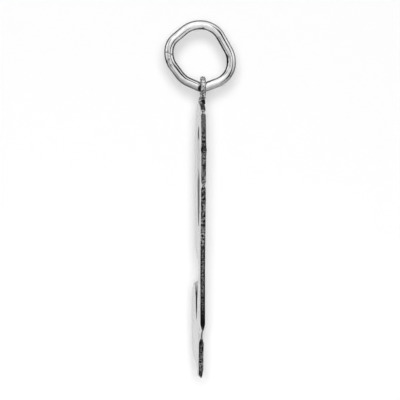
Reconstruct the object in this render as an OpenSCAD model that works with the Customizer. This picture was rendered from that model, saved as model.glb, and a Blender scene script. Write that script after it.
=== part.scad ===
// Number charm: a flat silver numeral that hangs by a soldered loop on a bent jump ring.
// The origin is the middle of the jump ring. The numeral's face looks along -Y, and +Z is up.

/* [Jump ring] */
// Width of the ring between the middles of its wire
ring_w = 6.58; // [5.8:0.02:8]
// Height of the ring between the middles of its wire
ring_h = 6.64; // [5.8:0.02:8]
// Thickness of the ring wire
ring_wire_d = 1.0; // [0.7:0.02:1.1]

/* [Loop] */
// Play between the ring wire and the hole of the loop, all round
loop_play = 0.25; // [0.2:0.01:0.4]
// Thickness of the loop wire
loop_wire_d = 0.56; // [0.4:0.02:0.7]
// How far the loop hangs below the ring wire's middle
loop_drop = 0.12; // [0.06:0.01:0.14]

/* [Solder joint] */
// Height of the solder between the loop and the numeral
solder_gap = 0.36; // [0.2:0.02:0.6]
// Width of the solder where it meets the loop
solder_neck_w = 1.0; // [0.8:0.05:1.2]
// Thickness of the solder from front to back
solder_t = 0.5; // [0.4:0.02:0.6]
// How far the solder reaches down to the numeral's rounded top edge
solder_lap = 0.22; // [0.2:0.01:0.6]
// How far the solder leans to follow the slope of that edge, in degrees
solder_lean = 9; // [0:1:16]

/* [Numeral] */
// Height of the numeral
digit_h = 28.7; // [22:0.1:36]
// Width of the numeral over its bowl and its tail
digit_w = 16.5; // [13:0.1:21]
// Thickness of the plate
plate_t = 0.5; // [0.4:0.02:0.9]
// How far the plate's middle lies in front of the ring's middle
plate_forward = 0.05; // [0:0.01:0.1]
// Thickness that is left where the edge is filed thin
nick_core_t = 0.2; // [0.12:0.01:0.3]
// How far the filed places run in from the edge
nick_reach = 0.7; // [0.4:0.05:1.2]

/* [Hidden] */
$fn = 64;
overrun = plate_t;

// The ring's centreline is a polygon with rounded corners, seen from the numeral's right.
// Each row: place to the back and up, as shares of half the ring, and the corner's bend radius share.
ring_corner_shares = [
    [0.08, -1.022, 0.36],
    [1.00, -0.675, 0.69],
    [1.00, 0.024, 0.76],
    [0.455, 0.985, 0.72],
    [-0.290, 0.985, 0.77],
    [-0.990, 0.412, 0.57],
    [-1.00, -0.133, 0.73],
    [-0.545, -0.744, 0.73]
];
ring_corners = [for (c = ring_corner_shares) [c[0] * ring_w / 2, c[1] * ring_h / 2]];
ring_bends = [for (c = ring_corner_shares) c[2] * min(ring_w, ring_h) / 2];

// The bottom bend of the ring, where the loop hangs
ring_bottom = bend_lowest(0);

loop_hole_d = ring_wire_d + 2 * loop_play;
loop_r = (loop_hole_d + loop_wire_d) / 2;
loop_y = ring_bottom[0];
loop_z = ring_bottom[1] - loop_drop;
digit_top = loop_z - loop_r - loop_wire_d / 2 - solder_gap;

// Share of the numeral's width, from its left side, that lies under the loop: its balance point
balance_share = 0.561;
digit_left = -balance_share * digit_w;

// Outline of the numeral, clockwise from the top of its bowl.
// Each row: shares across from the left and down from the top, then the heading in and out in degrees.
shoulder_shares = [
    [0.595, 0.000, 0, 0],
    [0.880, 0.009, -14, -14],
    [0.962, 0.041, -74, -74],
    [1.000, 0.175, -90, -90],
    [0.955, 0.380, -98, -98]
];
stem_shares = [
    [0.894, 0.620, -91, -91],
    [0.894, 0.824, -90, -165],
    [0.748, 0.868, -100, -100],
    [0.716, 0.945, -97, -97],
    [0.690, 1.000, 180, 180]
];
tail_shares = [
    [0.500, 0.978, 144, 144],
    [0.290, 0.934, 167, 167],
    [0.070, 0.894, 140, 140],
    [0.000, 0.778, 90, 90],
    [0.208, 0.646, 0, 0],
    [0.420, 0.752, -88, -88],
    [0.490, 0.786, 0, 0],
    [0.562, 0.750, 84, 84],
    [0.655, 0.630, 75, 75]
];
bowl_shares = [
    [0.600, 0.560, 172, 172],
    [0.440, 0.540, 168, 168],
    [0.303, 0.350, 90, 90],
    [0.303, 0.235, 90, 90],
    [0.386, 0.066, 52, 52]
];
outline_shares = concat(shoulder_shares, stem_shares, tail_shares, bowl_shares);

// The counter of the bowl: a slim egg that leans a little
counter_shares = [
    [0.700, 0.080, 0, 0],
    [0.812, 0.230, -85, -85],
    [0.818, 0.360, -93, -93],
    [0.728, 0.445, 180, 180],
    [0.615, 0.330, 93, 93],
    [0.608, 0.190, 85, 85]
];

// Points that each curved stretch of an outline is drawn with
curve_steps = 12;
// How far a stretch follows its heading at each end, as a share of the straight way between the ends
pull_share = 0.39;

// Filed places on the right edge: share across to the edge, then four shares down from the top
nick_shares = [
    [0.955, [0.024, 0.031, 0.034, 0.041]],
    [0.982, [0.287, 0.297, 0.300, 0.310]]
];
// The heel is filed thin from above its step to below it
heel_shares = [0.894, [0.803, 0.829, 0.853, 0.872]];
// How far the heel's filing runs in, as a share of the numeral's width
heel_reach_share = 0.20;
// Share of the plate's thickness that the heel's filing leaves
heel_core_share = 0.28;

function unit(v) = v / norm(v);
function heading(a) = [cos(a), sin(a)];
function turn_of(a, b, c) = acos(max(-1, min(1, unit(b - a) * unit(c - b))));
function corner(i) = ring_corners[(i + len(ring_corners)) % len(ring_corners)];

// Tangent length, centre and lowest point of one bend of the ring's centreline
function bend_turn(i) = turn_of(corner(i - 1), corner(i), corner(i + 1));
function bend_tangent(i) = ring_bends[i] * tan(bend_turn(i) / 2);
function bend_start(i) = corner(i) - unit(corner(i) - corner(i - 1)) * bend_tangent(i);
function bend_end(i) = corner(i) + unit(corner(i + 1) - corner(i)) * bend_tangent(i);
function bend_centre(i) = corner(i) + unit(unit(corner(i - 1) - corner(i)) + unit(corner(i + 1) - corner(i)))
    * ring_bends[i] / cos(bend_turn(i) / 2);
function bend_lowest(i) = bend_centre(i) - [0, ring_bends[i]];

// One curved stretch from outline row a to row b, ending just before b
function stretch(a, b) =
    let (p = [a[0], a[1]], q = [b[0], b[1]], pull = norm(q - p) * pull_share)
    let (p1 = p + heading(a[3]) * pull, q1 = q - heading(b[2]) * pull)
    [for (s = [0 : curve_steps - 1])
        let (t = s / curve_steps, u = 1 - t)
        u * u * u * p + 3 * u * u * t * p1 + 3 * u * t * t * q1 + t * t * t * q];

// A closed outline on the numeral, from its rows of shares
function placed(rows) = [for (r = rows) [digit_left + r[0] * digit_w, digit_top - r[1] * digit_h, r[2], r[3]]];
function closed_outline(rows) =
    let (places = placed(rows), n = len(rows))
    [for (i = [0 : n - 1]) each stretch(places[i], places[(i + 1) % n])];

// Turns a flat drawing in X and Z into a plate of a given thickness, centred on a given Y
module plate(thickness, y = 0) {
    translate([0, y + thickness / 2, 0])
        rotate([90, 0, 0])
            linear_extrude(height = thickness)
                children();
}

// One bend of the ring: a slice of a wire torus between its two tangent points
module ring_bend(i) {
    centre = bend_centre(i);
    from = bend_start(i) - centre;
    translate([0, centre[0], centre[1]])
        rotate([90, 0, 90])
            rotate([0, 0, atan2(from[1], from[0])])
                rotate_extrude(angle = bend_turn(i))
                    translate([ring_bends[i], 0])
                        circle(d = ring_wire_d);
}

// One straight length of the ring wire, from the end of one bend to the start of the next
module ring_leg(i) {
    next = (i + 1) % len(ring_corners);
    from = bend_end(i);
    run = bend_start(next) - from;
    translate([0, from[0], from[1]])
        rotate([-atan2(run[0], run[1]), 0, 0])
            cylinder(d = ring_wire_d, h = norm(run));
}

// Bent ring wire, closed at its seam
module jump_ring() {
    color("silver")
        union() {
            for (i = [0 : len(ring_corners) - 1]) {
                ring_bend(i);
                ring_leg(i);
            }
        }
}

// Torus of the loop wire
module loop_wire() {
    translate([0, loop_y, loop_z])
        rotate([90, 0, 0])
            rotate_extrude()
                translate([loop_r, 0])
                    circle(d = loop_wire_d);
}

// Wire loop that hangs on the ring
module top_loop() {
    color("gainsboro")
        loop_wire();
}

// Solder between the loop and the top edge, drawn in at its sides. None runs over the numeral's faces.
module solder_joint() {
    flare = solder_gap + loop_wire_d / 2;
    foot_w = solder_neck_w + 2 * flare;
    color("dimgray")
        difference() {
            plate(solder_t, (loop_y - plate_forward) / 2)
                translate([0, loop_z])
                    rotate(solder_lean)
                        translate([0, -loop_r])
                            difference() {
                                translate([-foot_w / 2, -flare - solder_lap])
                                    square([foot_w, flare + solder_lap]);
                                for (way = [-1, 1])
                                    translate([way * foot_w / 2, 0])
                                        circle(r = flare);
                            }
            loop_wire();
            blank(plate_t + 2 * overrun);
        }
}

// The numeral's outline as a plate, before it is pierced and filed
module blank(thickness) {
    plate(thickness, -plate_forward)
        polygon(closed_outline(outline_shares));
}

// V-shaped file cut into both corners of the plate's edge, across the thickness
module edge_file(row, core, reach) {
    levels = [for (s = row[1]) digit_top - s * digit_h];
    for (way = [-1, 1])
        translate([digit_left + row[0] * digit_w - reach, -plate_forward, 0])
            rotate([90, 0, 90])
                linear_extrude(height = reach + overrun)
                    polygon([
                        [way * (plate_t / 2 + overrun), levels[0]],
                        [way * plate_t / 2, levels[0]],
                        [way * core / 2, levels[1]],
                        [way * core / 2, levels[2]],
                        [way * plate_t / 2, levels[3]],
                        [way * (plate_t / 2 + overrun), levels[3]]
                    ]);
}

// Flat plate numeral
module number_nine() {
    color("lightgray")
        difference() {
            blank(plate_t);
            plate(plate_t + overrun, -plate_forward)
                polygon(closed_outline(counter_shares));
            for (row = nick_shares)
                edge_file(row, nick_core_t, nick_reach);
            edge_file(heel_shares, heel_core_share * plate_t, heel_reach_share * digit_w);
        }
}

jump_ring();
top_loop();
solder_joint();
number_nine();
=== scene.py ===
# %% [markdown]
# # A number charm in polished silver
#
# The charm is a flat numeral cut from silver plate. A small loop is soldered to its top edge,
# and the loop hangs on a bent jump ring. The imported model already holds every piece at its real
# size, so this lesson only gives the pieces their true surfaces, and then lights them.

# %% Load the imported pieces
import math

import bmesh
import bpy
from mathutils import Matrix, Vector, noise
from mathutils.geometry import interpolate_bezier


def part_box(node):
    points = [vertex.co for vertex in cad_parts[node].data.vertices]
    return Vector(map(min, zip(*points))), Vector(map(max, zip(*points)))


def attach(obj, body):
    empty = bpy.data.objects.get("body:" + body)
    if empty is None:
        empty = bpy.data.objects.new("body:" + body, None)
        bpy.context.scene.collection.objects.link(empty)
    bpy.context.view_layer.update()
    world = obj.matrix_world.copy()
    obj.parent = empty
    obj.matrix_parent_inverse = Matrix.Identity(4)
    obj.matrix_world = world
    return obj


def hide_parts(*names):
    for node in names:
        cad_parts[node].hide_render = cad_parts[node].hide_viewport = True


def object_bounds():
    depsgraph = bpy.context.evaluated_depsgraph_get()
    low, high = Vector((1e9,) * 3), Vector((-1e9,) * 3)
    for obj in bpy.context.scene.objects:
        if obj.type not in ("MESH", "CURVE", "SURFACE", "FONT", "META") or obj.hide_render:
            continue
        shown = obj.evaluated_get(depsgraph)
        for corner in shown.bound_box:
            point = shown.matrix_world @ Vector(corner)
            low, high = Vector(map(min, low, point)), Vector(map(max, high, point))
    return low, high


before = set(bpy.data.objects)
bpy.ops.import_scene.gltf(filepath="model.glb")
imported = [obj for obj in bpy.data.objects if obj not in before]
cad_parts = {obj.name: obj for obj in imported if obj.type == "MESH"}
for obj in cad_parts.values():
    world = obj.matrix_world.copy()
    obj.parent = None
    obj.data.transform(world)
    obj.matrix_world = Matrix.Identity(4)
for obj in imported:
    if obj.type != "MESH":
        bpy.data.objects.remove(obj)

MM = 0.001
cad_low, cad_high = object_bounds()
print("pieces:", sorted(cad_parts))
print("height in mm:", round((cad_high.z - cad_low.z) / MM, 2))

# %% [markdown]
# ## Helpers that every piece needs
#
# A bmesh is Blender's workshop for a mesh. Each piece below starts as a bmesh, is shaped there,
# and ends as an object at the origin, so that a pattern in object coordinates stays where it is.
# A piece made here stands for an imported node: it hides that node and moves with the same body.

# %% Turn a bmesh into a finished piece
def finish_piece(bm, name, node, body, materials, sharp_angle):
    for face in bm.faces:
        face.smooth = True
    mesh = bpy.data.meshes.new(name)
    bm.to_mesh(mesh)
    bm.free()
    mesh.set_sharp_from_angle(angle=math.radians(sharp_angle))
    for material in materials:
        mesh.materials.append(material)
    piece = bpy.data.objects.new(name, mesh)
    bpy.context.scene.collection.objects.link(piece)
    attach(piece, body)
    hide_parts(node)
    low, high = piece_box(mesh)
    print(name, "faces:", len(mesh.polygons), "size in mm:", [round(v / MM, 2) for v in high - low])


def piece_box(mesh):
    places = [v.co for v in mesh.vertices]
    low = Vector(min(p[axis] for p in places) for axis in range(3))
    high = Vector(max(p[axis] for p in places) for axis in range(3))
    return low, high


def print_faces(label, bm):
    open_edges = sum(not edge.is_manifold for edge in bm.edges)
    print(label, "faces:", len(bm.faces), "open edges:", open_edges)


def rough_noise(place, coarse, fine, fine_share):
    wide = noise.noise(place / (coarse * MM)) * (1 - fine_share)
    return wide + noise.noise(place / (fine * MM)) * fine_share


# %% Small helpers for node trees
def new_material(name):
    material = bpy.data.materials.new(name)
    material.use_nodes = True
    tree = material.node_tree
    shader = tree.nodes["Principled BSDF"]
    return material, tree, shader


def add_node(tree, kind, **settings):
    node = tree.nodes.new(kind)
    for key, value in settings.items():
        if hasattr(node, key):
            setattr(node, key, value)
        else:
            node.inputs[key.replace("_", " ")].default_value = value
    return node


def join(tree, source, target):
    tree.links.new(source, target)


def feed(tree, value, socket):
    if isinstance(value, bpy.types.NodeSocket):
        join(tree, value, socket)
    elif socket.type == "VALUE":
        socket.default_value = value
    else:
        socket.default_value = (value, value, value, 1)


def ramp(tree, source, stops):
    node = tree.nodes.new("ShaderNodeValToRGB")
    elements = node.color_ramp.elements
    while len(elements) < len(stops):
        elements.new(0.5)
    for element, (position, grey) in zip(elements, stops):
        element.position = position
        element.color = (grey, grey, grey, 1)
    join(tree, source, node.inputs["Fac"])
    return node.outputs["Color"]


def grain(tree, place, scale, detail=3.0, roughness=0.55):
    node = add_node(tree, "ShaderNodeTexNoise", Scale=scale, Detail=detail, Roughness=roughness)
    join(tree, place, node.inputs["Vector"])
    return node.outputs["Fac"]


def blend_greys(tree, share, first, second, kind="MIX"):
    node = tree.nodes.new("ShaderNodeMix")
    node.data_type = "RGBA"
    node.blend_type = kind
    sockets = node.inputs["Factor"], node.inputs[6], node.inputs[7]
    for value, socket in zip((share, first, second), sockets):
        feed(tree, value, socket)
    return node.outputs[2]


def multiply_add(tree, value, factor, plus):
    node = add_node(tree, "ShaderNodeMath", operation="MULTIPLY_ADD")
    for part, socket in zip((value, factor, plus), node.inputs):
        feed(tree, part, socket)
    return node.outputs[0]


def bump(tree, shader, height, distance, strength):
    node = add_node(tree, "ShaderNodeBump", Strength=strength, Distance=distance)
    join(tree, height, node.inputs["Height"])
    join(tree, node.outputs["Normal"], shader.inputs["Normal"])


def place_on(tree, attribute=None):
    if attribute:
        return add_node(tree, "ShaderNodeAttribute", attribute_name=attribute).outputs["Vector"]
    return tree.nodes.new("ShaderNodeTexCoord").outputs["Object"]


def place_in_mm(tree, stretch=(1, 1, 1), attribute=None, middle=(0, 0, 0)):
    mapping = tree.nodes.new("ShaderNodeMapping")
    mapping.inputs["Scale"].default_value = [s / MM for s in stretch]
    mapping.inputs["Location"].default_value = [-s / MM * m for s, m in zip(stretch, middle)]
    join(tree, place_on(tree, attribute), mapping.inputs["Vector"])
    return mapping.outputs["Vector"]


def share_between(tree, axis, start, end, attribute=None):
    parts = tree.nodes.new("ShaderNodeSeparateXYZ")
    join(tree, place_on(tree, attribute), parts.inputs[0])
    reach = tree.nodes.new("ShaderNodeMapRange")
    reach.inputs["From Min"].default_value = start
    reach.inputs["From Max"].default_value = end
    join(tree, parts.outputs[axis], reach.inputs["Value"])
    return reach.outputs["Result"]


# %% [markdown]
# ## The jump ring
#
# The real ring is one length of round silver wire, bent by hand. It's no true circle: eight soft
# bends of different radius join short, nearly straight legs, and the lowest bend is the tightest.
# A curve with a bevel would do, but here a circle profile is spun round each bend and pushed
# along each leg, because that is how the wire itself was bent, and it keeps the profile round.

# %% The ring's bends, as shares of half its size
ring_half = 3.29 * MM
ring_half_up = 3.32 * MM
ring_wire_r = 0.5 * MM
ring_corner_shares = [
    (0.08, -1.022, 0.36),
    (1.00, -0.675, 0.69),
    (1.00, 0.024, 0.76),
    (0.455, 0.985, 0.72),
    (-0.290, 0.985, 0.77),
    (-0.990, 0.412, 0.57),
    (-1.00, -0.133, 0.73),
    (-0.545, -0.744, 0.73),
]


def ring_bend(index):
    count = len(ring_corner_shares)
    before, here, after = (
        Vector((0, s[0] * ring_half, s[1] * ring_half_up))
        for s in (ring_corner_shares[(index + step) % count] for step in (-1, 0, 1))
    )
    radius = ring_corner_shares[index % count][2] * ring_half
    come, go = (here - before).normalized(), (after - here).normalized()
    turn = come.angle(go)
    reach = radius * math.tan(turn / 2)
    start, end = here - come * reach, here + go * reach
    centre = here + (go - come).normalized() * (radius / math.cos(turn / 2))
    return {
        "start": start, "end": end, "centre": centre, "turn": turn, "radius": radius, "come": come
    }


ring_bends = [ring_bend(i) for i in range(len(ring_corner_shares))]
print("bend radii in mm:", [round(b["radius"] / MM, 2) for b in ring_bends])

# %% Sweep the round profile along the bends and legs
ring_step = 0.09 * MM
ring_sides = 40


def sweep_ring():
    bm = bmesh.new()
    first = ring_bends[0]
    facing = first["come"].to_track_quat("Z", "X").to_matrix().to_4x4()
    bmesh.ops.create_circle(
        bm, segments=ring_sides, radius=ring_wire_r,
        matrix=Matrix.Translation(first["start"]) @ facing
    )
    profile = bm.verts[:] + bm.edges[:]
    for index, bend in enumerate(ring_bends):
        steps = max(2, round(bend["turn"] * bend["radius"] / ring_step))
        spun = bmesh.ops.spin(
            bm, geom=profile, cent=bend["centre"], axis=(1, 0, 0), angle=bend["turn"], steps=steps
        )
        profile = spun["geom_last"]
        run = ring_bends[(index + 1) % len(ring_bends)]["start"] - bend["end"]
        steps = max(1, round(run.length / ring_step))
        for _ in range(steps):
            edges = [g for g in profile if isinstance(g, bmesh.types.BMEdge)]
            pushed = bmesh.ops.extrude_edge_only(bm, edges=edges)["geom"]
            profile = [g for g in pushed if isinstance(g, (bmesh.types.BMVert, bmesh.types.BMEdge))]
            verts = [g for g in profile if isinstance(g, bmesh.types.BMVert)]
            fresh = set(verts)
            profile = verts + [
                g for g in profile if isinstance(g, bmesh.types.BMEdge) and set(g.verts) <= fresh
            ]
            bmesh.ops.translate(bm, verts=verts, vec=run / steps)
    bmesh.ops.remove_doubles(bm, verts=bm.verts, dist=ring_step / 20)
    bmesh.ops.recalc_face_normals(bm, faces=bm.faces)
    return bm


ring_mesh = sweep_ring()
print("ring sections:", len(ring_mesh.verts) // ring_sides)
print_faces("swept ring", ring_mesh)

# %% [markdown]
# ### Wear on the wire
#
# A hand-bent ring is never even. Its wire is a little flat here and there, pliers have left small
# nicks, and the seam where its two ends meet shows as a fine slanted line. These are moves of the
# mesh itself, by less than a twentieth of a millimetre, because on polished metal even such a
# small slope bends every reflection. Each point also keeps its place along and round the wire in
# one attribute, so that scratches can follow the bends, and in another how much darker its colour
# is at the nicks and along the seam.

# %% Where a point lies along the wire
def ring_places():
    places, along = [], 0.0
    for index, bend in enumerate(ring_bends):
        places.append(("bend", along, bend))
        along += bend["turn"] * bend["radius"]
        following = ring_bends[(index + 1) % len(ring_bends)]
        places.append(("leg", along, bend["end"], following["start"]))
        along += (following["start"] - bend["end"]).length
    return places, along


ring_stretches, ring_length = ring_places()


def nearest_on_ring(point):
    best = None
    for stretch in ring_stretches:
        if stretch[0] == "bend":
            bend = stretch[2]
            arm, out = bend["start"] - bend["centre"], point - bend["centre"]
            turn = math.atan2(arm.cross(out).x, arm.y * out.y + arm.z * out.z)
            turn = min(max(turn, 0.0), bend["turn"])
            middle = bend["centre"] + Matrix.Rotation(turn, 3, "X") @ arm
            along = stretch[1] + turn * bend["radius"]
        else:
            run = stretch[3] - stretch[2]
            share = min(max((point - stretch[2]).dot(run) / run.length_squared, 0.0), 1.0)
            middle = stretch[2] + run * share
            along = stretch[1] + run.length * share
        gap = (point - middle).length
        if best is None or gap < best[0]:
            best = (gap, along, middle)
    return best


print("wire length in mm:", round(ring_length / MM, 2))

# %% Uneven wire, plier nicks and the seam
wobble_depth = 0.016 * MM
seam_place = Vector((0, -3.3, 0.27)) * MM
seam_depth = 0.018 * MM
seam_half_width = 0.05 * MM
seam_slant = 0.35
# Each nick: its place, reach and depth in mm, and how dark it is.
nick_rows = [
    ((0.36, 2.84, -0.10), 0.26, 0.035, 1.0), ((0.34, 2.84, -0.62), 0.18, 0.030, 0.8),
    ((0.25, -2.75, 2.15), 0.30, 0.030, 0.0), ((0.40, -3.40, 0.45), 0.16, 0.016, 0.9),
    ((0.42, -3.30, -0.35), 0.16, 0.016, 0.9), ((0.44, -3.00, 0.10), 0.13, 0.012, 0.7),
    ((0.30, -3.60, -0.62), 0.30, 0.010, 1.0), ((0.42, -3.10, -0.95), 0.17, 0.010, 0.7),
]
nicks = [(Vector(at) * MM, reach * MM, bite * MM, dark) for at, reach, bite, dark in nick_rows]


def wear_ring(bm):
    layer = bm.verts.layers.float_vector.new("along_wire")
    mark_darkness = bm.verts.layers.float.new("mark_darkness")
    seam_along = nearest_on_ring(seam_place)[1]
    for vert in bm.verts:
        _, along, middle = nearest_on_ring(vert.co)
        out = (vert.co - middle).normalized()
        outward = out.dot(middle.normalized())
        vert[layer] = Vector((along, out.x * ring_wire_r, outward * ring_wire_r))
        depth = wobble_depth * (0.5 - 0.5 * rough_noise(vert.co, 0.9, 0.4, 0.3))
        skew = along - seam_along + seam_slant * outward * ring_wire_r
        seam_share = math.exp(-((skew / seam_half_width) ** 2))
        depth += seam_depth * seam_share
        dark = seam_share
        for place, reach, bite, darkness in nicks:
            share = math.exp(-(((vert.co - place).length / reach) ** 2))
            depth += bite * share
            dark = max(dark, darkness * share)
        vert[mark_darkness] = dark
        vert.co -= out * depth


wear_ring(ring_mesh)
print("seam at", round(nearest_on_ring(seam_place)[1] / MM, 2), "mm along the wire")

# %% [markdown]
# ### Polished silver wire
#
# Silver is a metal through and through, so its colour sits in the base colour and its metallic
# value is one. What makes it look like wire and not like chrome is a faint blur that changes from
# place to place, hairlines that run along the wire, and the long flats that the drawing die left.
# The colour also carries painted reflections and shade: a dark line along the lower left leg, a
# dark band on the inner side of the ring and a dark outline round its outer rim, both nearly gone
# on the right side, and painted shade beside the loop and on the outer side of the lower half.

# %% Painted dark line, and painted shade on the inner side, round the outer rim and beside the loop
loop_contact = Vector((0.2, 0.13, -3.40)) * MM
contact_stretch = (0.30, 1, 1.0)
shade_unevenness = 0.16


# Painted reflection: a dark line along the lower left leg of the wire.
def painted_dark_line(tree, outward):
    line = ramp(tree, outward, [(0.24, 1.0), (0.29, 0.22), (0.33, 0.22), (0.38, 1.0)])
    across = share_between(tree, "Y", -ring_half, ring_half)
    left_leg = ramp(tree, across, [(0.10, 0.0), (0.22, 1.0), (0.42, 1.0), (0.50, 0.0)])
    low = ramp(tree, share_between(tree, "Z", -ring_half, 0), [(0.40, 1.0), (0.70, 0.0)])
    shown = blend_greys(tree, 1.0, left_leg, low, "MULTIPLY")
    return blend_greys(tree, shown, 1.0, line)


# Painted reflections and shade on the wire, multiplied together into one colour.
def painted_wire_shade(tree, uneven):
    outward = share_between(tree, "Z", -ring_wire_r, ring_wire_r, "along_wire")
    edge = multiply_add(tree, uneven, shade_unevenness, outward)
    # Painted dark band on the inner side of the ring, its edge made uneven by the clouds.
    inner_side_shade = ramp(tree, edge, [(0.17, 0.05), (0.26, 1.0)])
    # On the right side the painted band on the inner side is nearly gone.
    brush_grain_and_right_shade = ramp(tree, edge, [(0.24, 0.95), (0.54, 1.0)])
    across = share_between(tree, "Y", -ring_half, ring_half)
    right_side = ramp(tree, across, [(0.45, 0.0), (0.80, 1.0)])
    wire_shade = blend_greys(tree, right_side, inner_side_shade, brush_grain_and_right_shade, "MULTIPLY")
    # Painted dark outline round the outer rim, except on the right side.
    outer_rim_shade = ramp(tree, outward, [(0.84, 1.0), (0.90, 0.30)])
    outer_rim_shade = blend_greys(tree, right_side, outer_rim_shade, 1.0)
    # Painted shade on the wire beside the loop.
    apart = add_node(tree, "ShaderNodeVectorMath", operation="LENGTH")
    join(tree, place_in_mm(tree, contact_stretch, middle=loop_contact), apart.inputs[0])
    shade_beside_loop = ramp(tree, apart.outputs["Value"], [(0.33, 0.03), (0.46, 1.0)])
    for layer in (painted_dark_line(tree, outward), outer_rim_shade, shade_beside_loop):
        wire_shade = blend_greys(tree, 1.0, wire_shade, layer, "MULTIPLY")
    return wire_shade


# Painted shade: the outer side of the ring's lower half is darker.
def painted_shade_below(tree):
    outward = share_between(tree, "Z", -ring_wire_r, ring_wire_r, "along_wire")
    side = ramp(tree, outward, [(0.50, 1.0), (0.62, 0.75), (0.97, 0.38)])
    low = ramp(tree, share_between(tree, "Z", -ring_half, 0), [(0.35, 1.0), (0.85, 0.0)])
    return blend_greys(tree, low, 1.0, side)


# %% Material of the wire
def wire_material():
    material, tree, shader = new_material("polished_wire")
    shader.inputs["Metallic"].default_value = 1.0
    hairlines = grain(tree, place_in_mm(tree, (0.6, 26, 26), "along_wire"), 1.0, 4.0, 0.6)
    flats = grain(tree, place_in_mm(tree, (0.25, 3.6, 3.6), "along_wire"), 1.0, 1.0)
    clouds = grain(tree, place_in_mm(tree), 1.6, 2.0)
    tint = ramp(tree, clouds, [(0.3, 0.78), (0.7, 0.93)])
    lines = ramp(tree, hairlines, [(0.36, 0.86), (0.50, 1.0)])
    clean = blend_greys(tree, 1.0, tint, lines, "MULTIPLY")
    mark_darkness = add_node(tree, "ShaderNodeAttribute", attribute_name="mark_darkness").outputs["Fac"]
    # The colour is darker at the nicks and along the seam.
    darker_marks = ramp(tree, mark_darkness, [(0.2, 1.0), (0.8, 0.35)])
    # The painted reflections and shade, and the darker nicks and seam, are multiplied into the
    # colour.
    for layer in (painted_wire_shade(tree, clouds), painted_shade_below(tree), darker_marks):
        clean = blend_greys(tree, 1.0, clean, layer, "MULTIPLY")
    join(tree, clean, shader.inputs["Base Color"])
    join(tree, ramp(tree, clouds, [(0.3, 0.04), (0.75, 0.12)]), shader.inputs["Roughness"])
    bump(tree, shader, blend_greys(tree, 0.12, flats, hairlines), 0.035 * MM, 0.8)
    return material


finish_piece(
    ring_mesh, "jump_ring_wire", "jump_ring", "ring", [wire_material()],
    sharp_angle=70
)

# %% [markdown]
# ## The loop
#
# The loop that carries the numeral is thin cast wire. Its skin is grainy, like fine sand, and it
# was never polished. A circle spun all the way round makes it. Its section is a little square,
# because the mould was cut in two flat halves, and a fine noise then lifts and drops every point.

# %% Spin the loop and roughen its skin
loop_low, loop_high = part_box("top_loop")
loop_centre = (loop_low + loop_high) / 2
loop_wire_r = (loop_high.y - loop_low.y) / 2
loop_r = (loop_high.x - loop_low.x) / 2 - loop_wire_r
loop_skin = 0.02 * MM
loop_squareness = 3.2
loop_sides = 40
loop_sections = 150


def cast_loop():
    bm = bmesh.new()
    middle = loop_centre + Vector((loop_r, 0, 0))
    bmesh.ops.create_circle(
        bm, segments=loop_sides, radius=loop_wire_r - loop_skin, matrix=Matrix.Translation(middle)
    )
    for vert in bm.verts:
        out = (vert.co - middle).normalized()
        power = sum(abs(part) ** loop_squareness for part in out) ** (1 / loop_squareness)
        vert.co = middle + (vert.co - middle) / power
    bmesh.ops.spin(
        bm, geom=bm.verts[:] + bm.edges[:], cent=loop_centre, axis=(0, 1, 0), angle=math.tau,
        steps=loop_sections, use_merge=True
    )
    bmesh.ops.recalc_face_normals(bm, faces=bm.faces)
    bm.normal_update()
    for vert in bm.verts:
        vert.co += vert.normal * loop_skin * rough_noise(vert.co, 0.11, 0.05, 0.3)
    return bm


# %% Material of the cast wire
def cast_material():
    material, tree, shader = new_material("cast_wire")
    shader.inputs["Metallic"].default_value = 1.0
    place = place_in_mm(tree)
    sand = grain(tree, place, 7.0, 3.0, 0.6)
    specks = grain(tree, place, 7.5, 1.0)
    tint = ramp(tree, sand, [(0.40, 0.16), (0.5, 0.52), (0.58, 1.0)])
    dark = ramp(tree, specks, [(0.36, 0.02), (0.44, 1.0)])
    join(tree, blend_greys(tree, 1.0, tint, dark, "MULTIPLY"), shader.inputs["Base Color"])
    shader.inputs["Roughness"].default_value = 0.42
    bump(tree, shader, sand, 0.02 * MM, 0.7)
    return material


finish_piece(
    cast_loop(), "cast_loop", "top_loop", "charm", [cast_material()], sharp_angle=75
)

# %% [markdown]
# ## The solder
#
# Solder flows before it sets, so the lump between loop and numeral has no sharp edge. The packed
# solid has the right outline, and its copy is merged, rebuilt as an even skin by a voxel remesh,
# and smoothed until the corners run round. The lower part of its back is painted nearly black:
# painted shade in the hollow where the lump meets the plate's top.

# %% Melt a copy of the imported solder
solder_merge = 0.002 * MM
solder_voxel = 0.028 * MM
solder_smoothings = 6
solder_unevenness_mm = 0.012
solder_bulge = 1.2


def melt_solder():
    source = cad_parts["solder_joint"]
    bm = bmesh.new()
    bm.from_mesh(source.data)
    bmesh.ops.remove_doubles(bm, verts=bm.verts, dist=solder_merge)
    mesh = bpy.data.meshes.new("solder_skin")
    bm.to_mesh(mesh)
    bm.free()
    helper = bpy.data.objects.new("solder_skin", mesh)
    bpy.context.scene.collection.objects.link(helper)
    remesh = helper.modifiers.new("skin", "REMESH")
    remesh.mode, remesh.voxel_size = "VOXEL", solder_voxel
    evaluated = helper.evaluated_get(bpy.context.evaluated_depsgraph_get())
    bm = bmesh.new()
    bm.from_mesh(evaluated.to_mesh())
    bpy.data.objects.remove(helper)
    for _ in range(solder_smoothings):
        bmesh.ops.smooth_vert(
            bm, verts=bm.verts, factor=0.5, use_axis_x=True, use_axis_y=True, use_axis_z=True
        )
    bm.normal_update()
    for vert in bm.verts:
        lump = noise.noise(vert.co / (0.16 * MM)) * solder_unevenness_mm + solder_unevenness_mm
        vert.co += vert.normal * lump * MM
        vert.co.y += max(vert.co.y - loop_centre.y, 0) * solder_bulge
    return bm


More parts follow.
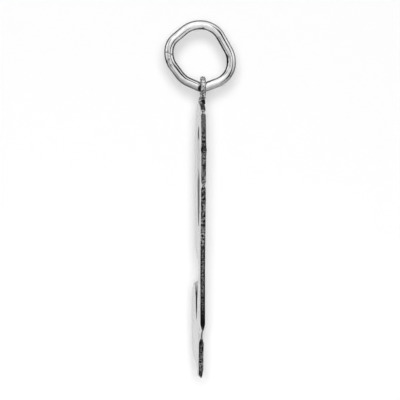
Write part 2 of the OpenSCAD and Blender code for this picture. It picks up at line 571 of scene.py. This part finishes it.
def solder_material():
    material, tree, shader = new_material("solder")
    shader.inputs["Metallic"].default_value = 1.0
    place = place_in_mm(tree)
    crust = grain(tree, place, 5.0, 4.0, 0.65)
    tint = ramp(tree, crust, [(0.36, 0.07), (0.52, 0.40), (0.68, 0.95)])
    # Painted shade: the lower part of the lump's back is nearly black, as in the hollow by the
    # plate's top.
    cavity_shade = ramp(tree, share_between(tree, "Y", -0.1 * MM, 0.3 * MM), [(0.35, 1.0), (0.7, 0.04)])
    low = ramp(tree, share_between(tree, "Z", -4.8 * MM, -4.4 * MM), [(0.3, 1.0), (0.7, 0.0)])
    cavity_shade = blend_greys(tree, low, 1.0, cavity_shade)
    join(tree, blend_greys(tree, 1.0, tint, cavity_shade, "MULTIPLY"), shader.inputs["Base Color"])
    join(tree, ramp(tree, crust, [(0.3, 0.65), (0.7, 0.35)]), shader.inputs["Roughness"])
    bump(tree, shader, crust, 0.02 * MM, 0.6)
    return material


finish_piece(
    melt_solder(), "solder_lump", "solder_joint", "charm", [solder_material()],
    sharp_angle=180
)

# %% [markdown]
# ## The numeral
#
# The numeral is sawn from flat plate. Its outline is a chain of curves: each row below says how
# far across and down a point of the outline lies, as shares of the plate's size, and in which
# directions the curve arrives and leaves. Blender's interpolate_bezier turns each pair of rows
# into a smooth stretch.

# %% Outline of the plate
plate_low, plate_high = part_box("number_nine")
plate_w, plate_h = plate_high.x - plate_low.x, plate_high.z - plate_low.z
plate_t = plate_high.y - plate_low.y
plate_middle = (plate_high.y + plate_low.y) / 2
outline_shares = [
    (0.595, 0.000, 0, 0), (0.880, 0.009, -14, -14), (0.962, 0.041, -74, -74),
    (1.000, 0.175, -90, -90), (0.955, 0.380, -98, -98), (0.894, 0.620, -91, -91),
    (0.894, 0.824, -90, -165), (0.748, 0.868, -100, -100), (0.716, 0.945, -97, -97),
    (0.690, 1.000, 180, 180), (0.500, 0.978, 144, 144), (0.290, 0.934, 167, 167),
    (0.070, 0.894, 140, 140), (0.000, 0.778, 90, 90), (0.208, 0.646, 0, 0),
    (0.420, 0.752, -88, -88), (0.490, 0.786, 0, 0), (0.562, 0.750, 84, 84),
    (0.655, 0.630, 75, 75), (0.600, 0.560, 172, 172), (0.440, 0.540, 168, 168),
    (0.303, 0.350, 90, 90), (0.303, 0.235, 90, 90), (0.386, 0.066, 52, 52),
]
counter_shares = [
    (0.700, 0.080, 0, 0), (0.812, 0.230, -85, -85), (0.818, 0.360, -93, -93),
    (0.728, 0.445, 180, 180), (0.615, 0.330, 93, 93), (0.608, 0.190, 85, 85),
]
pull_share = 0.39
outline_step = 0.10 * MM


def plate_point(across, down):
    return Vector((plate_low.x + across * plate_w, plate_low.y, plate_high.z - down * plate_h))


def heading(degrees):
    return Vector((math.cos(math.radians(degrees)), 0, math.sin(math.radians(degrees))))


def smooth_outline(rows):
    points = []
    for here, there in zip(rows, rows[1:] + rows[:1]):
        start, end = plate_point(here[0], here[1]), plate_point(there[0], there[1])
        pull = (end - start).length * pull_share
        count = max(4, round((end - start).length / outline_step))
        curve = interpolate_bezier(
            start, start + heading(here[3]) * pull, end - heading(there[2]) * pull, end, count + 1
        )
        points += curve[:-1]
    return points


plate_outline, plate_counter = smooth_outline(outline_shares), smooth_outline(counter_shares)
print("outline points:", len(plate_outline), "counter points:", len(plate_counter))

# %% Fill the outline and pull it to a plate
def closed_edges(bm, points):
    verts = [bm.verts.new(p) for p in points]
    return [bm.edges.new((a, b)) for a, b in zip(verts, verts[1:] + verts[:1])]


def saw_plate():
    bm = bmesh.new()
    edges = closed_edges(bm, plate_outline) + closed_edges(bm, plate_counter)
    bmesh.ops.triangle_fill(bm, edges=edges, use_beauty=True, use_dissolve=True)
    pulled = bmesh.ops.extrude_face_region(bm, geom=bm.faces[:], use_keep_orig=True)["geom"]
    bmesh.ops.translate(
        bm, verts=[g for g in pulled if isinstance(g, bmesh.types.BMVert)], vec=(0, plate_t, 0)
    )
    bmesh.ops.recalc_face_normals(bm, faces=bm.faces)
    return bm


plate_mesh = saw_plate()
print_faces("sawn plate", plate_mesh)

# %% [markdown]
# ### Filed places
#
# In three places the sawn edge was filed thin from both faces: two small nicks high on the right
# side and a long one at the heel. First the plate is cut into bands there with bisect_plane, which
# only adds points, and then every point near the file is pressed towards the middle of the plate.

# %% Press the filed places thin
tiny = 0.001 * MM
nick_reach = 0.7 * MM
file_cuts = [
    {"across": 0.955, "downs": (0.024, 0.031, 0.034, 0.041), "core": 0.40, "reach": nick_reach},
    {"across": 0.982, "downs": (0.287, 0.297, 0.300, 0.310), "core": 0.40, "reach": nick_reach},
    {"across": 0.894, "downs": (0.803, 0.829, 0.853, 0.872), "core": 0.28, "reach": 0.20 * plate_w},
]


def cut_bands(bm):
    for cut in file_cuts:
        edge_x = plate_point(cut["across"], 0).x
        for down in cut["downs"]:
            bmesh.ops.bisect_plane(
                bm, geom=bm.verts[:] + bm.edges[:] + bm.faces[:], dist=tiny,
                plane_co=plate_point(0, down), plane_no=(0, 0, 1)
            )
        inner = Vector((edge_x - cut["reach"], 0, 0))
        band = [f for f in bm.faces if in_band(f, cut)]
        parts = dict.fromkeys(part for face in band for part in (face, *face.edges, *face.verts))
        bmesh.ops.bisect_plane(
            bm, geom=list(parts), dist=tiny, plane_co=inner, plane_no=(1, 0, 0)
        )


def in_band(face, cut):
    top, bottom = plate_point(0, cut["downs"][0]).z, plate_point(0, cut["downs"][-1]).z
    middle = face.calc_center_median().z
    return bottom < middle < top


def file_edges(bm):
    cut_bands(bm)
    for cut in file_cuts:
        levels = [plate_point(0, down).z for down in cut["downs"]]
        inner_x = plate_point(cut["across"], 0).x - cut["reach"]
        for vert in bm.verts:
            if vert.co.x < inner_x + tiny or not levels[3] < vert.co.z < levels[0]:
                continue
            if vert.co.z > levels[1]:
                share = (levels[0] - vert.co.z) / (levels[0] - levels[1])
            elif vert.co.z < levels[2]:
                share = (vert.co.z - levels[3]) / (levels[2] - levels[3])
            else:
                share = 1.0
            vert.co.y = plate_middle + (vert.co.y - plate_middle) * (1 - (1 - cut["core"]) * share)


file_edges(plate_mesh)
print("faces after filing:", len(plate_mesh.faces))

# %% [markdown]
# ### Rim and sawn edge
#
# Polishing the faces rounds the rim a little, so a narrow bevel runs along it. The edge between
# the rims was only sawn, and its rough skin is real geometry: the walls are cut into small
# squares and a noise moves their points. The front corners of the foot and of the tail's tip are
# worn away, so their points are pressed in there, and the foot's back corner is thinner too.
# Where the saw stopped and started again, high on the right side, it left a small burr on both
# rims.

# %% Round the rim and roughen the wall
rim_width = 0.04 * MM
wall_cuts = 5
saw_depth = 0.016 * MM
saw_sink = 0.9
wall_tilt = 0.5
plain_wall_tilt = 0.2
edge_paint_tilt = 0.55


def is_wall(face, tilt):
    return abs(face.normal.y) < tilt


def all_plain_walls(faces):
    return all(is_wall(face, plain_wall_tilt) for face in faces)


def round_rim(bm):
    bm.normal_update()
    rim = [e for e in bm.edges if len({is_wall(f, wall_tilt) for f in e.link_faces}) == 2]
    bmesh.ops.bevel(
        bm, geom=rim, offset=rim_width, segments=2, profile=0.5, affect="EDGES", material=-1,
        clamp_overlap=True
    )


def roughen_wall(bm):
    bm.normal_update()
    across = [
        e for e in bm.edges
        if abs((e.verts[0].co - e.verts[1].co).y) > plate_t / 8 and all_plain_walls(e.link_faces)
    ]
    bmesh.ops.subdivide_edges(bm, edges=across, cuts=wall_cuts, use_grid_fill=True)
    bm.normal_update()
    for vert in bm.verts:
        if all_plain_walls(vert.link_faces):
            teeth = rough_noise(vert.co, 0.13, 0.055, 0.4)
            vert.co += vert.normal * saw_depth * (teeth - saw_sink)
    for face in bm.faces:
        face.material_index = 1 if is_wall(face, edge_paint_tilt) else 0


round_rim(plate_mesh)
roughen_wall(plate_mesh)
print_faces("sawn and rounded plate", plate_mesh)

# %% Wear the foot and the tail, and raise the burr
foot_corner_x = plate_point(0.71, 1).x
foot_wear = 0.57 * MM
foot_wear_height = 0.9 * MM
foot_wear_reach = 4.0 * MM
foot_back_wear = 0.15 * MM
tail_top = plate_point(0.208, 0.646)
tail_right_x = plate_point(0.45, 0).x
tail_wear = 0.50 * MM
tail_wear_height = 0.8 * MM
tail_wear_reach = 2.2 * MM
tail_share_limit = 1.05
tip_share = 0.72
wear_power = 1.5
burr_left_x = plate_point(0.97, 0).x
burr_z = plate_point(0, 0.168).z
burr_reach = 0.16 * MM
burr_swell = 0.30


def away_from_tip(vert):
    return abs((vert.co.y - plate_low.y) / plate_t - tip_share) ** wear_power


def wear_foot(bm):
    for vert in bm.verts:
        low_share = 1 - (vert.co.z - plate_low.z) / foot_wear_height
        if low_share <= 0:
            continue
        front_share = away_from_tip(vert)
        near_share = math.exp(-(((vert.co.x - foot_corner_x) / foot_wear_reach) ** 2))
        back_share = max((vert.co.y - plate_middle) / (plate_t / 2), 0)
        vert.co.z += foot_wear * low_share * front_share * near_share
        vert.co.y -= foot_back_wear * low_share * back_share * near_share


def wear_tail(bm):
    for vert in bm.verts:
        high_share = 1 - (tail_top.z - vert.co.z) / tail_wear_height
        if not 0 < high_share < tail_share_limit or vert.co.x > tail_right_x:
            continue
        near_share = math.exp(-(((vert.co.x - tail_top.x) / tail_wear_reach) ** 2))
        vert.co.z -= tail_wear * high_share * away_from_tip(vert) * near_share


def raise_burr(bm):
    for vert in bm.verts:
        if vert.co.x > burr_left_x:
            share = math.exp(-(((vert.co.z - burr_z) / burr_reach) ** 2))
            vert.co.y = plate_middle + (vert.co.y - plate_middle) * (1 + burr_swell * share)


wear_foot(plate_mesh)
wear_tail(plate_mesh)
raise_burr(plate_mesh)
print_faces("worn plate", plate_mesh)

# %% Material of the polished faces
def face_material():
    material, tree, shader = new_material("polished_plate")
    shader.inputs["Metallic"].default_value = 1.0
    brush_grain_and_right_shade = grain(tree, place_in_mm(tree, (2.2, 1, 0.25)), 6.0, 4.0, 0.6)
    clouds = grain(tree, place_in_mm(tree), 0.35, 3.0)
    tint = ramp(tree, clouds, [(0.35, 0.80), (0.65, 0.92)])
    lines = ramp(tree, brush_grain_and_right_shade, [(0.34, 0.88), (0.48, 1.0)])
    join(tree, blend_greys(tree, 1.0, tint, lines, "MULTIPLY"), shader.inputs["Base Color"])
    join(tree, ramp(tree, clouds, [(0.3, 0.14), (0.7, 0.24)]), shader.inputs["Roughness"])
    bump(tree, shader, blend_greys(tree, 0.3, clouds, brush_grain_and_right_shade), 0.03 * MM, 0.6)
    return material


# %% [markdown]
# ### The colour of the sawn edge
#
# The outer edge is dark with oxide, but not evenly: its tone is lighter high up and black just
# above the heel. The filed places are bare silver, and their bright bands are painted highlights as
# well. Between the bowl and the heel the edge shows only two dark margins along its rims. One ramp
# down the height of the plate holds the tone, a second says where the margins show, and a third
# where the edge is calm. The saw's coarse teeth and their fine grit mottle the rest. The walls
# inside the counter and the gap were filed smooth, so they have a calmer tone of their own, and its
# bright stretch high in the counter is painted light, so that the wall there looks as light as the
# face beside it.

# %% Tone of the outer edge down the plate
# The bright stops at the three filed places are painted highlights on bare silver.
edge_tones = [
    (0.00, 0.03), (0.012, 0.04), (0.02, 0.22), (0.027, 1.0), (0.035, 0.9), (0.04, 0.30),
    (0.145, 0.26), (0.158, 0.12), (0.163, 0.07), (0.18, 0.34), (0.24, 0.30), (0.275, 0.50),
    (0.292, 0.40), (0.299, 0.9), (0.306, 0.9), (0.312, 0.45), (0.33, 0.32), (0.51, 0.46),
    (0.52, 0.32), (0.70, 0.30), (0.785, 0.02), (0.812, 0.02), (0.818, 0.24), (0.847, 0.34),
    (0.851, 0.95), (0.854, 0.95), (0.858, 0.06), (0.895, 0.20), (0.905, 0.44), (0.955, 0.44),
    (0.975, 0.20), (1.0, 0.02),
]
margin_places = [
    (0.50, 0.0), (0.53, 1.0), (0.79, 1.0), (0.82, 0.0),
    (0.87, 0.0), (0.90, 0.2), (0.97, 0.2), (1.0, 0.0),
]
calm_places = [(0.035, 0.1), (0.05, 0.5), (0.09, 0.5), (0.13, 0.0)]
print("tones down the edge:", len(edge_tones))

# %% Tone of the walls inside the counter and the gap
# The bright stretch from 0.135 to 0.23 is painted light, as light as the face beside the wall.
inner_tones = [
    (0.075, 0.70), (0.085, 0.24), (0.12, 0.24), (0.135, 0.85), (0.23, 0.85), (0.28, 0.28),
    (0.44, 0.28), (0.45, 0.70), (0.66, 0.66), (0.69, 0.06), (0.745, 0.07), (0.775, 0.40),
    (0.96, 0.62),
]
across_margins = [
    (0.10, 0.35), (0.26, 0.30), (0.40, 1.0), (0.60, 1.0), (0.74, 0.30), (0.90, 0.35),
]
calm_tone = 0.45
margin_tone = 0.7
margin_mottle_share = 0.08


def edge_material():
    material, tree, shader = new_material("sawn_edge")
    shader.inputs["Metallic"].default_value = 0.8
    shader.inputs["Roughness"].default_value = 0.55
    down = share_between(tree, "Z", plate_high.z, plate_low.z)
    across = share_between(tree, "Y", plate_low.y, plate_high.y)
    teeth = grain(tree, place_in_mm(tree), 5.4, 1.5, 0.8)
    cells = add_node(tree, "ShaderNodeTexVoronoi", Scale=6.8)
    join(tree, place_in_mm(tree), cells.inputs["Vector"])
    grit = ramp(tree, cells.outputs["Color"], [(0.26, 0.0), (0.50, 0.42), (0.68, 1.0)])
    mottle = ramp(tree, teeth, [(0.45, 0.35), (0.49, 0.8), (0.53, 1.0)])
    mottle = blend_greys(tree, 1.0, mottle, grit, "MULTIPLY")
    mottle = blend_greys(tree, ramp(tree, down, calm_places), mottle, calm_tone)
    between = blend_greys(tree, margin_mottle_share, mottle, margin_tone)
    margins = blend_greys(tree, 1.0, ramp(tree, across, across_margins), between, "MULTIPLY")
    marked = blend_greys(tree, ramp(tree, down, margin_places), mottle, margins)
    outer = blend_greys(tree, 1.0, ramp(tree, down, edge_tones), marked, "MULTIPLY")
    near_right = share_between(tree, "X", plate_point(0.68, 0).x, plate_point(0.71, 0).x)
    colour = blend_greys(tree, near_right, ramp(tree, down, inner_tones), outer)
    join(tree, colour, shader.inputs["Base Color"])
    bump(tree, shader, teeth, 0.02 * MM, 0.6)
    return material


finish_piece(
    plate_mesh, "numeral_plate", "number_nine", "charm",
    [face_material(), edge_material()], sharp_angle=12
)

# %% [markdown]
# ## Camera
#
# The photograph looks at the edge of the numeral from its right side, a few degrees towards its
# face, so that a sliver of the face shows. A long lens far away keeps near and far almost alike.

# %% Set the camera
view_azimuth = math.radians(86.5)
view_distance = 1.20
frame_width = 42.0 * MM
aim = Vector((0, 0, -15.12 * MM))
towards_camera = Vector((math.sin(view_azimuth), -math.cos(view_azimuth), 0))

camera_data = bpy.data.cameras.new("camera")
camera_data.sensor_width = 36.0
camera_data.lens = camera_data.sensor_width * view_distance / frame_width
camera_data.clip_start, camera_data.clip_end = 0.01, 10.0
camera = bpy.data.objects.new("camera", camera_data)
camera.location = aim + towards_camera * view_distance
camera.rotation_mode = "QUATERNION"
camera.rotation_quaternion = (-towards_camera).to_track_quat("-Z", "Y")
bpy.context.scene.collection.objects.link(camera)
bpy.context.scene.camera = camera
print("lens in mm:", round(camera_data.lens))

# %% [markdown]
# ## Studio
#
# The charm hangs in front of a white card and over a pale floor. The card takes the soft shadow
# that the photograph shows round the ring and beside the plate. It stands far enough behind the
# ring for the numeral to swing free of it, and past its edges the silver reflects the dark back
# of the tent, which gives bright wire its fine outline. From behind, the card lets the view
# through, so that the back of the charm can be seen too.

# %% Card and floor
card_x = -40 * MM
card_half_width = 41 * MM
card_half_height = 105 * MM
floor_z = cad_low.z - 6 * MM
floor_half = 60 * MM


def stage_plane(name, centre, half_width, half_height, turn, material):
    bm = bmesh.new()
    size = Matrix.Diagonal((half_height, half_width, 1, 1))
    bmesh.ops.create_grid(
        bm, x_segments=1, y_segments=1, size=1, matrix=Matrix.Translation(centre) @ turn @ size
    )
    mesh = bpy.data.meshes.new(name)
    bm.to_mesh(mesh)
    bm.free()
    mesh.materials.append(material)
    plane = bpy.data.objects.new(name, mesh)
    bpy.context.scene.collection.objects.link(plane)


def paper_material(name, own, glow, shine, see_through_back):
    material, tree, _ = new_material(name)
    tree.nodes.clear()
    output = tree.nodes.new("ShaderNodeOutputMaterial")
    paper = tree.nodes.new("ShaderNodeBsdfDiffuse")
    paper.inputs["Color"].default_value = (own, own, own, 1)
    light = tree.nodes.new("ShaderNodeEmission")
    rays = tree.nodes.new("ShaderNodeLightPath")
    reflected = multiply_add(tree, rays.outputs["Is Glossy Ray"], shine, 0.0)
    strength = multiply_add(tree, rays.outputs["Is Camera Ray"], glow, reflected)
    join(tree, strength, light.inputs["Strength"])
    both = tree.nodes.new("ShaderNodeAddShader")
    join(tree, paper.outputs[0], both.inputs[0])
    join(tree, light.outputs[0], both.inputs[1])
    if see_through_back:
        side = tree.nodes.new("ShaderNodeNewGeometry")
        clear = tree.nodes.new("ShaderNodeBsdfTransparent")
        choose = tree.nodes.new("ShaderNodeMixShader")
        join(tree, side.outputs["Backfacing"], choose.inputs[0])
        join(tree, both.outputs[0], choose.inputs[1])
        join(tree, clear.outputs[0], choose.inputs[2])
        join(tree, choose.outputs[0], output.inputs["Surface"])
    else:
        join(tree, both.outputs[0], output.inputs["Surface"])
    return material


card_paper = paper_material("card_paper", own=0.75, glow=0.27, shine=0.0, see_through_back=True)
floor_paper = paper_material("floor_paper", own=0.80, glow=0.88, shine=0.50, see_through_back=False)
stage_plane(
    "card", Vector((card_x, 0, aim.z)), card_half_width, card_half_height,
    Matrix.Rotation(math.radians(90), 4, "Y"), card_paper
)
stage_plane(
    "floor", Vector((0, 0, floor_z)), floor_half, floor_half, Matrix.Identity(4), floor_paper
)
print("card behind the charm by", round((cad_low.x - card_x) / MM, 2), "mm")

# %% One soft lamp behind the camera
lamp_distance = 1.60
lamp_left = 0.098
lamp_up = 0.023
lamp_width = 0.085
lamp_height = 0.095
lamp_power = 19.7


def soft_lamp(name, place):
    data = bpy.data.lights.new(name, "AREA")
    data.shape = "ELLIPSE"
    data.size = lamp_width
    data.size_y = lamp_height
    data.energy = lamp_power
    lamp = bpy.data.objects.new(name, data)
    lamp.location = place
    lamp.rotation_mode = "QUATERNION"
    lamp.rotation_quaternion = (aim - place).to_track_quat("-Z", "Y")
    bpy.context.scene.collection.objects.link(lamp)
    lamp.visible_glossy = False


soft_lamp("front_lamp", aim + Vector((lamp_distance, -lamp_left, lamp_up)))

# %% [markdown]
# ### What the silver reflects
#
# Polished silver has hardly a colour of its own: it shows the room. So the world is a small photo
# tent. Round the camera and above, it's white, below and to the sides it turns grey, and behind
# the charm it's nearly black. A soft dark spot is the camera itself, a little beside the middle.
# A grey stripe down the tent's left side and a black one down its right draw the lines along the
# wire. The camera sees plain white instead, and rough surfaces are lit by an even, weaker fill.

# %% Directions in the tent
camera_right = (-towards_camera).cross(Vector((0, 0, 1)))
spot_turn = math.radians(10)
spot_towards = towards_camera * math.cos(spot_turn) - camera_right * math.sin(spot_turn)


def half_dot(tree, direction, towards):
    dot = add_node(tree, "ShaderNodeVectorMath", operation="DOT_PRODUCT")
    join(tree, direction, dot.inputs[0])
    dot.inputs[1].default_value = towards
    return multiply_add(tree, dot.outputs["Value"], 0.5, 0.5)


def tent_colour(tree):
    direction = tree.nodes.new("ShaderNodeTexCoord").outputs["Generated"]
    front = ramp(tree, half_dot(tree, direction, towards_camera), [
        (0.0, 0.50), (0.035, 0.40), (0.055, 0.05), (0.36, 0.07), (0.44, 0.65), (0.74, 0.90),
        (0.83, 1.0), (0.98, 1.0), (1.0, 0.85)
    ])
    height = half_dot(tree, direction, (0, 0, 1))
    sky = ramp(tree, height, [(0.0, 0.70), (0.25, 0.75), (0.5, 0.88), (0.65, 1.0)])
    spot = ramp(tree, half_dot(tree, direction, spot_towards), [(0.9925, 1.0), (0.9975, 0.35)])
    stripes = ramp(tree, half_dot(tree, direction, camera_right), [
        (0.10, 1.0), (0.13, 0.42), (0.27, 0.42), (0.31, 1.0),
        (0.64, 1.0), (0.685, 0.02), (0.845, 0.02), (0.89, 1.0)
    ])
    stripe_ends = ramp(tree, height, [(0.12, 0.3), (0.25, 0.0), (0.74, 0.0), (0.84, 1.0)])
    folds = ramp(tree, grain(tree, direction, 2.4, 2.0), [(0.35, 0.80), (0.65, 1.0)])
    colour = front
    for layer in (sky, spot, blend_greys(tree, stripe_ends, stripes, 1.0), folds):
        colour = blend_greys(tree, 1.0, colour, layer, "MULTIPLY")
    return colour


# %% World: tent for the silver, white for the camera, a fill for the rest
tent_strength = 1.32
fill_strength = 0.12


def background(tree, strength, colour=None):
    node = tree.nodes.new("ShaderNodeBackground")
    node.inputs["Strength"].default_value = strength
    node.inputs["Color"].default_value = (1, 1, 1, 1)
    if colour:
        join(tree, colour, node.inputs["Color"])
    return node.outputs[0]


def studio_world():
    world = bpy.data.worlds.new("studio")
    bpy.context.scene.world = world
    world.use_nodes = True
    tree = world.node_tree
    tree.nodes.clear()
    rays = tree.nodes.new("ShaderNodeLightPath")
    shown = background(tree, tent_strength, tent_colour(tree))
    for ray, strength in (("Is Diffuse Ray", fill_strength), ("Is Camera Ray", 1.0)):
        choose = tree.nodes.new("ShaderNodeMixShader")
        join(tree, rays.outputs[ray], choose.inputs[0])
        join(tree, shown, choose.inputs[1])
        join(tree, background(tree, strength), choose.inputs[2])
        shown = choose.outputs[0]
    join(tree, shown, tree.nodes.new("ShaderNodeOutputWorld").inputs["Surface"])


studio_world()
bpy.context.scene.view_settings.view_transform = "Standard"
